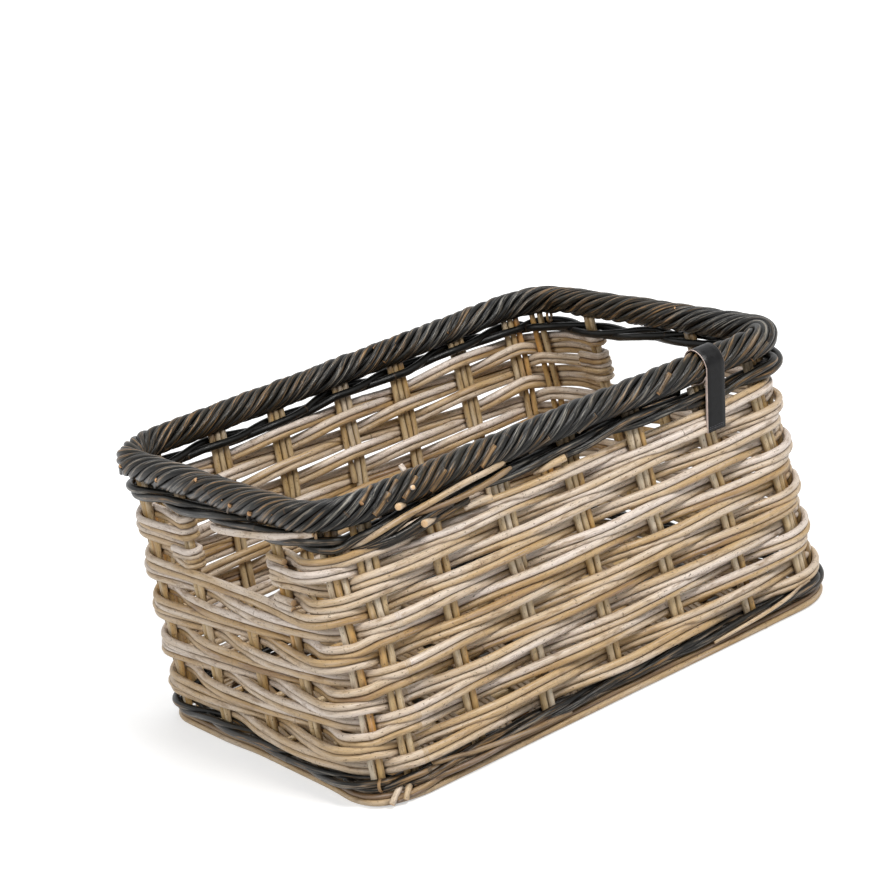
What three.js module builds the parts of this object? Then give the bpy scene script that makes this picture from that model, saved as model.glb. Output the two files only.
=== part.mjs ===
// Open rectangular bicycle basket of rattan, woven on paired upright stakes.
// Millimetres, +Z up. The origin is the middle of the footprint, on the surface that it stands on.
// +X runs along a long side, and the near long side, which carries the leather label, faces -Y.
import * as THREE from 'three';

// Overall form: the rope border's centre line, and the wall's centre surface at the ground
const rimHalfLength = 250;
const rimHalfWidth = 196;
const rimHeight = 261;
const footHalfLength = 260;
const footHalfWidth = 199;
const wallCornerRadius = 50;

// Rope border
const rimRadius = 14;
const rimGrooveDepth = 1.3;
const rimStrands = 7;
const rimTurns = 18;
const rimOverhang = 2.5;
const underRimGap = 5.5;

// Upright stakes, each a pair of canes side by side
const stakeRadius = 3.5;
const longSideStakes = 7;
const shortSideStakes = 5;

// How far round the corner the end stakes of each side stand, from where the straight part ends
const longSideEndTurn = THREE.MathUtils.degToRad(16.5);
const shortSideFirstTurn = THREE.MathUtils.degToRad(5.5);
const shortSideLastTurn = THREE.MathUtils.degToRad(41);

// Side weave: each course is two canes that lie one above the other, about this far apart
const courseThickness = 6.6;
const usualCoursePitch = 13.3;
const courseGap = 0.6;
const stakesPerRepeat = 3;
const windowPhase = 2;

// Twined wales, two dark rods each, at the foot and under the border
const waleRodRadius = 3.4;
const waleCrossingGap = 0.95;

// Hoop round the foot, cut flat where it rests
const hoopRadius = 5.6;
const hoopOffset = 3;

// Woven bottom: lengthwise sticks and one weaver that snakes across them
const stickRadius = 3.5;
const stickCount = 7;
const stickSpacing = 52;
const weaverWidth = 19.4;
const weaverPitch = 20;
const weaverThickness = 3;
const groundClearance = 0.6;

// Hand holes, one in each short side, this many courses high
const handHoleCourses = 4;

// Leather label looped over the near border
const labelWidth = 21;
const labelX = 157.5;
const labelThickness = 1.4;
const labelLayers = 2;
const labelDrop = 58;
const labelPlay = 0.9;

// Gap kept between pieces that touch, and how finely round shapes are divided
const seatGap = 0.3;
const clearOfWale = 0.45;
const cornerSteps = 5;
const rodSides = 5;
const barSides = 8;
const stepsPerTurn = 7;
const labelSegments = 24;

// Heights that follow from the stack of hoop, wale, courses, wale and border
const hoopHeight = 2 * hoopRadius * Math.cos(Math.PI / barSides);
const waleRise = waleRodRadius + waleCrossingGap;
const waleHalfHeight = waleRodRadius + waleRise;
const footWaleZ = hoopHeight + seatGap + waleHalfHeight;
const footWaleTopZ = footWaleZ + waleHalfHeight;
const upperWaleTopZ = rimHeight - rimRadius - underRimGap;
const upperWaleZ = upperWaleTopZ - waleHalfHeight;
const spaceForCourses = upperWaleZ - waleHalfHeight - courseGap - footWaleTopZ;
const courseCount = Math.round(spaceForCourses / usualCoursePitch);
const coursePitch = spaceForCourses / courseCount;
const courseHeight = coursePitch - courseGap;
const firstCourseZ = footWaleTopZ + courseGap + courseHeight / 2;
const topCourseZ = firstCourseZ + (courseCount - 1) * coursePitch;
const stakeFootZ = hoopHeight + seatGap;
const stakeTopZ = rimHeight - rimRadius - seatGap;
const strapRadius = rimRadius + labelPlay + labelThickness;
const stakeTopUnderStrapZ = rimHeight - strapRadius - seatGap;
const holeFloorZ = topCourseZ - (handHoleCourses - 0.5) * coursePitch - courseGap / 2;

// How far a cane's centre line passes from the middle of the stakes
const coursePass = stakeRadius + seatGap + courseThickness / 2;
const walePass = stakeRadius + seatGap + waleRodRadius;
const stakeHalfSpan = 2 * stakeRadius;

const naturalCane = { color: 0xb49a72, roughness: 0.62, metalness: 0 };
const stakeCane = { color: 0xa98a55, roughness: 0.65, metalness: 0 };
const darkCane = { color: 0x2e2a26, roughness: 0.42, metalness: 0 };
const blackLeather = { color: 0x1b1a1b, roughness: 0.5, metalness: 0 };

const basket = new THREE.Group();

function addPiece(name, geometry, finish) {
  const mesh = new THREE.Mesh(geometry, new THREE.MeshStandardMaterial(finish));
  mesh.name = name;
  basket.add(mesh);
}

// The wall changes evenly from the foot to the border
function wallHalfLength(z) {
  return footHalfLength + (rimHalfLength - rimOverhang - footHalfLength) * z / rimHeight;
}

function wallHalfWidth(z) {
  return footHalfWidth + (rimHalfWidth - rimOverhang - footHalfWidth) * z / rimHeight;
}

// A rounded rectangle walked anticlockwise from the left end of the near side.
// Its eight stretches are near, corner, right, corner, far, corner, left, corner.
function makeLoop(halfLength, halfWidth, radius) {
  const long = 2 * (halfLength - radius);
  const short = 2 * (halfWidth - radius);
  const arc = Math.PI / 2 * radius;
  const lengths = [long, arc, short, arc, long, arc, short, arc];
  const starts = [0];
  for (const length of lengths) {
    starts.push(starts[starts.length - 1] + length);
  }
  return { lengths, starts, length: starts[lengths.length] };
}

// The stretch and the share of it that a distance along the loop falls on
function stationAt(loop, distance) {
  const s = THREE.MathUtils.euclideanModulo(distance, loop.length);
  let stretch = 0;
  while (stretch < loop.lengths.length - 1 && s >= loop.starts[stretch + 1]) {
    stretch += 1;
  }
  return { stretch, share: (s - loop.starts[stretch]) / loop.lengths[stretch] };
}

// The plan point at a station of a rounded rectangle, moved outwards by out
function planPoint(station, halfLength, halfWidth, radius, out) {
  const side = Math.floor(station.stretch / 2);
  const facing = (side - 1) * Math.PI / 2;
  const reach = side % 2 === 0 ? halfWidth : halfLength;
  const half = (side % 2 === 0 ? halfLength : halfWidth) - radius;
  const normal = new THREE.Vector2(Math.cos(facing), Math.sin(facing));
  const along = new THREE.Vector2(-normal.y, normal.x);
  if (station.stretch % 2 === 0) {
    const travel = half * (2 * station.share - 1);
    return normal.multiplyScalar(reach + out).addScaledVector(along, travel);
  }
  const turn = facing + station.share * Math.PI / 2;
  const centre = normal.multiplyScalar(reach - radius).addScaledVector(along, half);
  return centre.add(new THREE.Vector2(Math.cos(turn), Math.sin(turn)).multiplyScalar(radius + out));
}

const wallLoop = makeLoop(wallHalfLength(rimHeight / 2), wallHalfWidth(rimHeight / 2), wallCornerRadius);

// A point of the leaning wall: distance along it, height, and offset outwards from its middle
function wallPoint(distance, z, out) {
  const station = stationAt(wallLoop, distance);
  const p = planPoint(station, wallHalfLength(z), wallHalfWidth(z), wallCornerRadius, out);
  return new THREE.Vector3(p.x, p.y, z);
}

// A closed body through rings of points; an open one gets flat ends, so its section is convex
function loft(rings, closed) {
  const sides = rings[0].length;
  const positions = rings.flat().flatMap((p) => [p.x, p.y, p.z]);
  const triangles = [];
  const spans = closed ? rings.length : rings.length - 1;
  for (let i = 0; i < spans; i += 1) {
    const here = i * sides;
    const next = ((i + 1) % rings.length) * sides;
    for (let j = 0; j < sides; j += 1) {
      const k = (j + 1) % sides;
      triangles.push([here + j, next + j, next + k], [here + j, next + k, here + k]);
    }
  }
  if (!closed) {
    const last = (rings.length - 1) * sides;
    for (let j = 1; j < sides - 1; j += 1) {
      triangles.push([0, j, j + 1], [last, last + j + 1, last + j]);
    }
  }
  const point = (i) => new THREE.Vector3().fromArray(positions, 3 * i);
  const volume = triangles.reduce(
    (sum, [a, b, c]) => sum + point(a).dot(point(b).cross(point(c))), 0);
  const outward = volume > 0 ? triangles : triangles.map(([a, b, c]) => [a, c, b]);
  const geometry = new THREE.BufferGeometry();
  geometry.setAttribute('position', new THREE.Float32BufferAttribute(positions, 3));
  geometry.setIndex(outward.flat());
  geometry.computeVertexNormals();
  return geometry;
}

// A polygon with its first corner at the angle start, as offsets outwards and up
function roundSection(radius, sides, start) {
  return Array.from({ length: sides }, (_, j) => {
    const angle = start + 2 * Math.PI * j / sides;
    return [radius * Math.cos(angle), radius * Math.sin(angle)];
  });
}

const rodSection = roundSection(waleRodRadius, rodSides, Math.PI / 2);
const hoopSection = roundSection(hoopRadius, barSides, Math.PI / barSides);
const courseSection = [
  [0, courseHeight / 2], [-courseThickness / 2, courseHeight / 4],
  [-courseThickness / 2, -courseHeight / 4], [0, -courseHeight / 2],
  [courseThickness / 2, -courseHeight / 4], [courseThickness / 2, courseHeight / 4],
];

// The stakes in order round the basket; the hand hole cuts the middle one of each short side
function makeStakes() {
  const stakes = [];
  for (let side = 0; side < 4; side += 1) {
    const isLong = side % 2 === 0;
    const count = isLong ? longSideStakes : shortSideStakes;
    const firstTurn = isLong ? longSideEndTurn : shortSideFirstTurn;
    const lastTurn = isLong ? longSideEndTurn : shortSideLastTurn;
    const first = wallLoop.starts[2 * side] - wallCornerRadius * firstTurn;
    const last = wallLoop.starts[2 * side + 1] + wallCornerRadius * lastTurn;
    for (let i = 0; i < count; i += 1) {
      const distance = THREE.MathUtils.lerp(first, last, i / (count - 1));
      const station = stationAt(wallLoop, distance);
      const atHole = isLong ? null : i - (count - 1) / 2;
      stakes.push({ distance, side, atHole, onCorner: station.stretch % 2 === 1 });
    }
  }
  return stakes;
}

const stakes = makeStakes();

// The distance of the stake with this index, counted on past a full round
function stakePlace(index) {
  const round = Math.floor(index / stakes.length);
  return stakes[index - round * stakes.length].distance + round * wallLoop.length;
}

// On a corner the pass outside a stake swings wider, so that its chord still clears the stake
function passOffset(index, outside, pass) {
  const stake = stakes[THREE.MathUtils.euclideanModulo(index, stakes.length)];
  if (!outside) {
    return -pass;
  }
  if (!stake.onCorner) {
    return pass;
  }
  return (wallCornerRadius + pass) / Math.cos(stakeHalfSpan / wallCornerRadius) - wallCornerRadius;
}

// Where the cane bends on round a corner, when this stake is the last of its side
function cornerBend(index, offsetOf) {
  const side = (i) => stakes[THREE.MathUtils.euclideanModulo(i, stakes.length)].side;
  if (side(index) === side(index + 1)) {
    return [];
  }
  const middle = (stakePlace(index) + stakePlace(index + 1)) / 2;
  return [new THREE.Vector2(middle, (offsetOf(index) + offsetOf(index + 1)) / 2)];
}

// The sideways direction at a bend between three plan points, lengthened to mitre the section
function mitre(before, here, after) {
  const arriving = here.clone().sub(before);
  const leaving = after.clone().sub(here);
  if (arriving.lengthSq() === 0) {
    arriving.copy(leaving);
  }
  if (leaving.lengthSq() === 0) {
    leaving.copy(arriving);
  }
  arriving.normalize();
  leaving.normalize();
  const tangent = arriving.clone().add(leaving).normalize();
  return new THREE.Vector2(-tangent.y, tangent.x).divideScalar(tangent.dot(arriving));
}

// A course's rings along points of distance and offset; a closed one joins up after a full round
function courseRings(path, z, closed) {
  const round = new THREE.Vector2(wallLoop.length, 0);
  const last = path.length - 1;
  const beforeFirst = closed ? path[last].clone().sub(round) : path[0];
  const afterLast = closed ? path[0].clone().add(round) : path[last];
  return path.map((here, i) => {
    const across = mitre(path[i - 1] ?? beforeFirst, here, path[i + 1] ?? afterLast);
    return courseSection.map(([dn, dz]) => wallPoint(
      here.x + across.x * dn, z + dz, here.y + across.y * dn));
  });
}

// Behind every third stake, one stake further on in each course up, so the windows climb
function passesOutside(index, course) {
  const place = THREE.MathUtils.euclideanModulo(index - course, stakesPerRepeat);
  return place !== windowPhase;
}

function stakePass(index, course) {
  const offsetOf = (i) => passOffset(i, passesOutside(i, course), coursePass);
  const out = offsetOf(index);
  const s = stakePlace(index);
  return [new THREE.Vector2(s - stakeHalfSpan, out), new THREE.Vector2(s + stakeHalfSpan, out),
    ...cornerBend(index, offsetOf)];
}

// The end of a cut course wraps the stake beside the hand hole and comes back along its other face
function endWrap(index, course, towards) {
  const side = passesOutside(index, course) ? 1 : -1;
  const s = stakePlace(index);
  const outer = passOffset(index, true, coursePass);
  const corner = coursePass / Math.cos(Math.PI / 8);
  const near = stakeRadius + corner * Math.cos(3 * Math.PI / 8);
  const far = stakeRadius + coursePass;
  const bulge = corner * Math.sin(Math.PI / 8);
  const points = [
    [-stakeHalfSpan, side * outer], [near, side * coursePass], [far, side * bulge],
    [far, -side * bulge], [near, -side * coursePass], [-stakeRadius, -side * coursePass],
  ];
  return points.map(([along, out]) => new THREE.Vector2(s + towards * along, out));
}

function addCourses() {
  const holeAt = stakes.map((stake, i) => (stake.atHole === 0 ? i : -1)).filter((i) => i >= 0);
  for (let course = 0; course < courseCount; course += 1) {
    const z = firstCourseZ + course * coursePitch;
    const label = String(course + 1).padStart(2, '0');
    if (course < courseCount - handHoleCourses) {
      const path = stakes.flatMap((_, i) => stakePass(i, course));
      addPiece(`weave_course_${label}`, loft(courseRings(path, z, true), true), naturalCane);
      continue;
    }
    const runs = [
      ['front', holeAt[1] - stakes.length + 1, holeAt[0] - 1],
      ['back', holeAt[0] + 1, holeAt[1] - 1],
    ];
    for (const [place, first, last] of runs) {
      const path = endWrap(first, course, -1).reverse();
      for (let i = first + 1; i < last; i += 1) {
        path.push(...stakePass(i, course));
      }
      path.push(...endWrap(last, course, 1));
      const geometry = loft(courseRings(path, z, false), false);
      addPiece(`weave_course_${label}_${place}`, geometry, naturalCane);
    }
  }
}

// Where a stake ends: under the border, lower where the label's strap passes, or at the hand hole
function stakeTop(stake) {
  const x = wallPoint(stake.distance, rimHeight, 0).x;
  if (stake.atHole === 0) {
    return holeFloorZ;
  }
  if (stake.side === 0 && Math.abs(x - labelX) < labelWidth / 2 + stakeHalfSpan + seatGap) {
    return stakeTopUnderStrapZ;
  }
  return stakeTopZ;
}

function addStakes() {
  const names = ['near', 'right', 'far', 'left'];
  const counts = [0, 0, 0, 0];
  for (const stake of stakes) {
    counts[stake.side] += 1;
    const ring = (z) => Array.from({ length: barSides }, (_, j) => {
      const angle = Math.PI / barSides * (2 * j + 1);
      const spread = Math.sign(Math.cos(angle)) * stakeRadius;
      const s = stake.distance + spread + stakeRadius * Math.cos(angle);
      return wallPoint(s, z, stakeRadius * Math.sin(angle));
    });
    const geometry = loft([ring(stakeFootZ), ring(stakeTop(stake))], false);
    addPiece(`stake_pair_${names[stake.side]}_${counts[stake.side]}`, geometry, stakeCane);
  }
}

// Two rods that change sides between stakes, one crossing over where the other crosses under
function addWale(name, z) {
  for (const [letter, turn] of [['a', 0], ['b', 1]]) {
    const rings = stakes.flatMap((_, i) => {
      const outside = (i + turn) % 2 === 0;
      const out = passOffset(i, outside, walePass);
      const s = stakePlace(i);
      const crossing = (stakePlace(i) + stakePlace(i + 1)) / 2;
      const rise = outside ? waleRise : -waleRise;
      const stops = [[s - stakeHalfSpan, out, 0], [s + stakeHalfSpan, out, 0], [crossing, 0, rise]];
      return stops.map(([at, offset, up]) => rodSection.map(
        ([dn, dz]) => wallPoint(at, z + up + dz, offset + dn)));
    });
    addPiece(`${name}_rod_${letter}`, loft(rings, true), darkCane);
  }
}

// Stations that follow the straight sides and divide each corner
function cornerStations() {
  const stations = [];
  for (let side = 0; side < 4; side += 1) {
    for (let step = 0; step <= cornerSteps; step += 1) {
      stations.push({ stretch: 2 * side + 1, share: step / cornerSteps });
    }
  }
  return stations;
}

const hoopZ = hoopHeight / 2;

function addHoop() {
  const halfLength = wallHalfLength(hoopZ);
  const halfWidth = wallHalfWidth(hoopZ);
  const rings = cornerStations().map((station) => hoopSection.map(([dn, dz]) => {
    const p = planPoint(station, halfLength, halfWidth, wallCornerRadius, hoopOffset + dn);
    return new THREE.Vector3(p.x, p.y, hoopZ + dz);
  }));
  addPiece('foot_hoop', loft(rings, true), naturalCane);
}

// A rope laid of equal strands: the ridges and grooves turn steadily round the bar
function addBorder() {
  const cornerRadius = wallCornerRadius + rimOverhang;
  const loop = makeLoop(rimHalfLength, rimHalfWidth, cornerRadius);
  const steps = rimTurns * stepsPerTurn;
  const rings = Array.from({ length: steps }, (_, i) => {
    const station = stationAt(loop, loop.length * i / steps);
    return Array.from({ length: 2 * rimStrands }, (__, j) => {
      const angle = 2 * Math.PI * (i / stepsPerTurn + j / (2 * rimStrands));
      const radius = rimRadius - (j % 2) * rimGrooveDepth;
      const out = radius * Math.cos(angle);
      const p = planPoint(station, rimHalfLength, rimHalfWidth, cornerRadius, out);
      return new THREE.Vector3(p.x, p.y, rimHeight + radius * Math.sin(angle));
    });
  });
  addPiece('rope_border', loft(rings, true), darkCane);
}

// How far a piece at this distance from the middle reaches towards a rounded rectangle
// that lies inset from the wall's foot, with its corners divided as the hoop's are
function reachTowards(offCentre, halfReach, halfBreadth, inset) {
  const radius = (wallCornerRadius - inset) * Math.cos(Math.PI / (4 * cornerSteps));
  const past = Math.max(0, Math.abs(offCentre) - (halfBreadth - wallCornerRadius));
  return halfReach - wallCornerRadius + Math.sqrt(Math.max(0, radius ** 2 - past ** 2));
}

const footLength = wallHalfLength(hoopZ);
const footWidth = wallHalfWidth(hoopZ);
const weaverPass = stickRadius + seatGap + weaverThickness / 2;
const stickZ = groundClearance + weaverPass + weaverThickness / 2;

function stickY(index) {
  return (index - (stickCount - 1) / 2) * stickSpacing;
}

// Lengthwise sticks whose ends seat on the inside of the hoop
function addSticks() {
  const hoopInset = hoopRadius * Math.cos(Math.PI / barSides) - hoopOffset;
  for (let i = 0; i < stickCount; i += 1) {
    const y = stickY(i);
    const half = reachTowards(Math.abs(y) + stickRadius, footLength, footWidth, hoopInset) - seatGap;
    const ring = (x) => roundSection(stickRadius, barSides, Math.PI / barSides)
      .map(([dy, dz]) => new THREE.Vector3(x, y + dy, stickZ + dz));
    addPiece(`bottom_stick_${i + 1}`, loft([ring(-half), ring(half)], false), stakeCane);
  }
}

// One flat weaver that crosses the sticks over and under, turns and comes back beside itself
function addWeaver() {
  const inset = walePass + waleRodRadius + clearOfWale;
  const half = weaverWidth / 2;
  const rows = Math.floor(2 * (footLength - inset) / weaverPitch);
  const rowX = (row) => (row - (rows - 1) / 2) * weaverPitch;
  const turnRoom = half + stickRadius + seatGap;
  const turnReach = (row, nextRow) => {
    const neighbour = THREE.MathUtils.clamp(nextRow, 0, rows - 1);
    const outerX = Math.max(Math.abs(rowX(row)), Math.abs(rowX(neighbour)));
    let reach = reachTowards(outerX + half, footWidth, footLength, inset) - half;
    for (let i = stickCount - 1; stickY(i) > 0; i -= 1) {
      reach = Math.abs(stickY(i) - reach) < turnRoom ? stickY(i) - turnRoom : reach;
    }
    return reach;
  };
  const points = [];
  const heights = [];
  for (let row = 0; row < rows; row += 1) {
    const way = row % 2 === 0 ? 1 : -1;
    const start = turnReach(row, row - 1);
    const end = turnReach(row, row + 1);
    const order = Array.from({ length: stickCount }, (_, i) => (way > 0 ? i : stickCount - 1 - i));
    const crossed = order.filter((i) => stickY(i) * way > -start && stickY(i) * way < end);
    const rowHeights = crossed.map((i) => ((i + row) % 2 === 0 ? weaverPass : -weaverPass));
    points.push(new THREE.Vector2(rowX(row), -way * start));
    points.push(...crossed.map((i) => new THREE.Vector2(rowX(row), stickY(i))));
    points.push(new THREE.Vector2(rowX(row), way * end));
    heights.push(rowHeights[0], ...rowHeights, rowHeights[rowHeights.length - 1]);
  }
  const section = [[half, 1], [-half, 1], [-half, -1], [half, -1]];
  const rings = points.map((here, i) => {
    const across = mitre(points[i - 1] ?? here, here, points[i + 1] ?? here);
    return section.map(([dn, face]) => new THREE.Vector3(here.x + across.x * dn,
      here.y + across.y * dn, stickZ + heights[i] + face * weaverThickness / 2));
  });
  addPiece('bottom_weaver', loft(rings, false), naturalCane);
}

// The lean from upright at which a flat face this far from the border's centre line
// just clears a point of the wall, given by how far it lies below and outside that line
function leanToClear(faceDistance, down, out) {
  return Math.atan2(out, down) - Math.asin(faceDistance / Math.hypot(down, out));
}

// A strap closed round the border. Its two ends hang together as a flat tab that leans on the wall.
function addLabel() {
  const inner = rimRadius + labelPlay;
  const outer = strapRadius;
  const tab = labelThickness * labelLayers;
  const tabInside = outer - tab;
  const wallOut = (down, proud) => wallHalfWidth(rimHeight - down) + proud + seatGap - rimHalfWidth;
  const waleDown = rimHeight - upperWaleTopZ;
  const lean = Math.max(
    leanToClear(tabInside, labelDrop, wallOut(labelDrop, coursePass + courseThickness / 2)),
    leanToClear(tabInside, waleDown, wallOut(waleDown, walePass + waleRodRadius)));
  const shape = new THREE.Shape();
  shape.moveTo(outer, -labelDrop);
  shape.lineTo(outer, 0);
  shape.absarc(0, 0, outer, 0, 2 * Math.PI - Math.acos(tabInside / outer), false);
  shape.lineTo(tabInside, -labelDrop);
  shape.closePath();
  const hole = new THREE.Path();
  hole.absarc(0, 0, inner, 0, 2 * Math.PI, true);
  shape.holes.push(hole);
  const geometry = new THREE.ExtrudeGeometry(
    shape, { depth: labelWidth, bevelEnabled: false, curveSegments: labelSegments });
  const outwards = new THREE.Vector3(0, -1, 0);
  const up = new THREE.Vector3(0, 0, 1);
  geometry.applyMatrix4(new THREE.Matrix4().makeBasis(outwards, up, new THREE.Vector3(-1, 0, 0)));
  geometry.translate(labelWidth / 2, 0, 0);
  geometry.rotateX(-lean);
  geometry.translate(labelX, -rimHalfWidth, rimHeight);
  addPiece('leather_label', geometry, blackLeather);
}

addHoop();
addSticks();
addWeaver();
addStakes();
addWale('foot_wale', footWaleZ);
addCourses();
addWale('upper_wale', upperWaleZ);
addBorder();
addLabel();

export default basket;
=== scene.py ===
"""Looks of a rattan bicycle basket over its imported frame. The tables are in millimetres."""
import math
from types import SimpleNamespace

import bpy
import numpy as np
from mathutils import Matrix, Vector
from mathutils.kdtree import KDTree


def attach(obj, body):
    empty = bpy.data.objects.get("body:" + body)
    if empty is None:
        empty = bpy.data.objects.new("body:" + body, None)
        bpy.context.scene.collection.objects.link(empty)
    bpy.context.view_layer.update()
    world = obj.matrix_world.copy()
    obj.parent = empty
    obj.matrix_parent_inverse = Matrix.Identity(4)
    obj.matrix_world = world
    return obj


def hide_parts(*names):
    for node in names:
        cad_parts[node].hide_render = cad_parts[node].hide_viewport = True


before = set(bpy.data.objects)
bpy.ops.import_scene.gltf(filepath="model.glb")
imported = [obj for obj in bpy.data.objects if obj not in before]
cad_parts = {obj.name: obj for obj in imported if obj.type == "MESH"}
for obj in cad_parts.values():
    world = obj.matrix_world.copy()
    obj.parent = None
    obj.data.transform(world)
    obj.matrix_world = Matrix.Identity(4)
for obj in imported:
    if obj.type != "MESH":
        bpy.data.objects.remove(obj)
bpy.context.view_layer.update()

MM = 0.001
TURN = 2 * math.pi
UP = np.array([0.0, 0.0, 1.0])

# Overall form, as in the frame: the border's centre line and the wall's centre surface
RIM_LENGTH, RIM_WIDTH, RIM_Z = 250.0, 196.0, 261.0
FOOT_LENGTH, FOOT_WIDTH = 260.0, 199.0
CORNER = 50.0
OVERHANG = 2.5

# Stack of rounds
HOOP_Z, HOOP_OUT = 5.3, 3.0
FOOT_WALE_Z = 18.4
FIRST_COURSE_Z, COURSE_PITCH, COURSES, HOLE_COURSES = 33.09, 13.283, 15, 4
HOLE_FLOOR_Z = 172.2

# Stakes
LONG_TURN, SHORT_FIRST_TURN, SHORT_LAST_TURN = (math.radians(a) for a in (16.5, 5.5, 41.0))
STAKE_RADIUS = 3.2


def ease(t):
    t = np.clip(t, 0.0, 1.0)
    return t * t * (3 - 2 * t)


def draws(number):
    return np.random.default_rng(number)


rng = draws(20)


def seed(source=rng):
    """A number for a wobble, drawn from the common generator or from a piece's own."""
    return int(source.integers(1 << 30))


def wobble(s, size, wave, phase_seed):
    """Smooth irregularity along a cane: three sines of random phase."""
    phases = draws(phase_seed).uniform(0, TURN, 3)
    waves = wave * np.array([1.0, 0.61, 0.37])
    weights = np.array([0.5, 0.3, 0.2])
    turn = TURN * np.asarray(s)
    return size * sum(w * np.sin(turn / length + p) for w, length, p in zip(weights, waves, phases))


def sample(at, places, values):
    """Rows of values that are given at places, read off between them."""
    return np.stack([np.interp(at, places, column) for column in values.T], 1)


def unit(vectors):
    return vectors / (np.linalg.norm(vectors, axis=1, keepdims=True) + 1e-12)


def lengths_along(points):
    """Distance of each point from the first one, along the line."""
    return np.concatenate([[0.0], np.cumsum(np.linalg.norm(np.diff(points, axis=0), axis=1))])


# ---- plan of the basket


class Loop:
    """A rounded rectangle walked anticlockwise from the left end of the near side."""

    def __init__(self, length, width, radii):
        self.length, self.width, self.radii = length, width, radii
        spans = []
        for side in range(4):
            half = length if side % 2 == 0 else width
            spans += [2 * half - radii[side - 1] - radii[side], math.pi / 2 * radii[side]]
        self.spans = np.array(spans)
        self.starts = np.concatenate([[0.0], np.cumsum(spans)])
        self.total = self.starts[-1]

    def station(self, s):
        s = np.mod(s, self.total)
        stretch = np.clip(np.searchsorted(self.starts, s, side="right") - 1, 0, 7)
        return stretch, (s - self.starts[stretch]) / self.spans[stretch]

    def place(self, side, travel):
        """Distance along the loop of a point this far past the middle of a side, walking on."""
        return (self.starts[2 * side] + self.starts[2 * side + 1]) / 2 + travel


def plan(stretch, share, length, width, radii, out=0.0):
    """Plan points and outward directions at stations of rounded rectangles of these half sizes."""
    side = stretch // 2
    radii = np.asarray(radii, float)
    facing = (side - 1) * math.pi / 2
    reach = np.where(side % 2 == 0, width, length)
    half = np.where(side % 2 == 0, length, width)
    normal = np.stack([np.cos(facing), np.sin(facing)], -1)
    along = np.stack([-normal[..., 1], normal[..., 0]], -1)
    before, after = radii[(side - 1) % 4], radii[side]
    travel = -(half - before) + share * (2 * half - before - after)
    flat = normal * (reach + out)[..., None] + along * travel[..., None]
    turn = facing + share * math.pi / 2
    spoke = np.stack([np.cos(turn), np.sin(turn)], -1)
    centre = normal * (reach - after)[..., None] + along * (half - after)[..., None]
    bend = centre + spoke * (after + out)[..., None]
    is_flat = (stretch % 2 == 0)[..., None]
    return np.where(is_flat, flat, bend), np.where(is_flat, normal, spoke)


def half_sizes(z):
    share = np.asarray(z, float) / RIM_Z
    length = FOOT_LENGTH + (RIM_LENGTH - OVERHANG - FOOT_LENGTH) * share
    width = FOOT_WIDTH + (RIM_WIDTH - OVERHANG - FOOT_WIDTH) * share
    return length, width


middle_length, middle_width = half_sizes(RIM_Z / 2)
WALL = Loop(middle_length, middle_width, [CORNER] * 4)
FR_CORNER = WALL.starts[1] + CORNER * math.pi / 4
FL_CORNER = WALL.total - CORNER * math.pi / 4


def wall(s, z, out):
    """Points of the wall and its outward directions, from distance along it, height and offset."""
    s, z, out = np.broadcast_arrays(np.asarray(s, float), np.asarray(z, float), np.asarray(out, float))
    stretch, share = WALL.station(s)
    points, normals = plan(stretch, share, *half_sizes(z), WALL.radii, out)
    return np.column_stack([points, z]), np.column_stack([normals, np.zeros_like(z)])


def hill(s, centre, width, power=2):
    """1 at a place along the wall, fading out past this width both ways."""
    away = (s - centre + WALL.total / 2) % WALL.total - WALL.total / 2
    return np.exp(-(away / width) ** power)


# How far each stake of the hand-made basket stands from its even place
STAKE_SHIFTS = ((0.5, -3.5, -2.0, 2.0, 3.5, 7.5, 3.0), (0, 2, -3, 2, 0),
                (0, -3, 2, -2, 3, -1, 0), (-1.0, -3.5, 6.0, 6.5, 0))


def stake_places():
    places, sides = [], []
    for side, shifts in enumerate(STAKE_SHIFTS):
        first_turn, last_turn = (SHORT_FIRST_TURN, SHORT_LAST_TURN) if side % 2 else (LONG_TURN, LONG_TURN)
        first = WALL.starts[2 * side] - CORNER * first_turn
        last = WALL.starts[2 * side + 1] + CORNER * last_turn
        places += list(np.linspace(first, last, len(shifts)) + np.array(shifts))
        sides += [side] * len(shifts)
    return np.array(places), sides


STAKES, STAKE_SIDES = stake_places()
COUNT = len(STAKES)
# stakes with more canes beside them, round the corner: how far on, offset, tone and darkening, which is
# painted shade of canes in shadow
CORNER_STAKES = (6, 18)
CORNER_CANES = ((11.5, -1.5, 0.6, 0.3), (19.5, -2.5, 0.8, 0.4), (30.5, 2.2, 0.5, 0.5))
# stakes that stop at a hand hole
HOLES = (9, 21)


def stake_at(index):
    return STAKES[index % COUNT] + WALL.total * (index // COUNT)


def closed_up(s, at, values, period):
    at, values = np.asarray(at, float), np.asarray(values, float)
    if period:
        at, values = np.append(at, at[0] + period), np.append(values, values[0])
        s = at[0] + np.mod(s - at[0], period)
    return s, at, values


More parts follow.
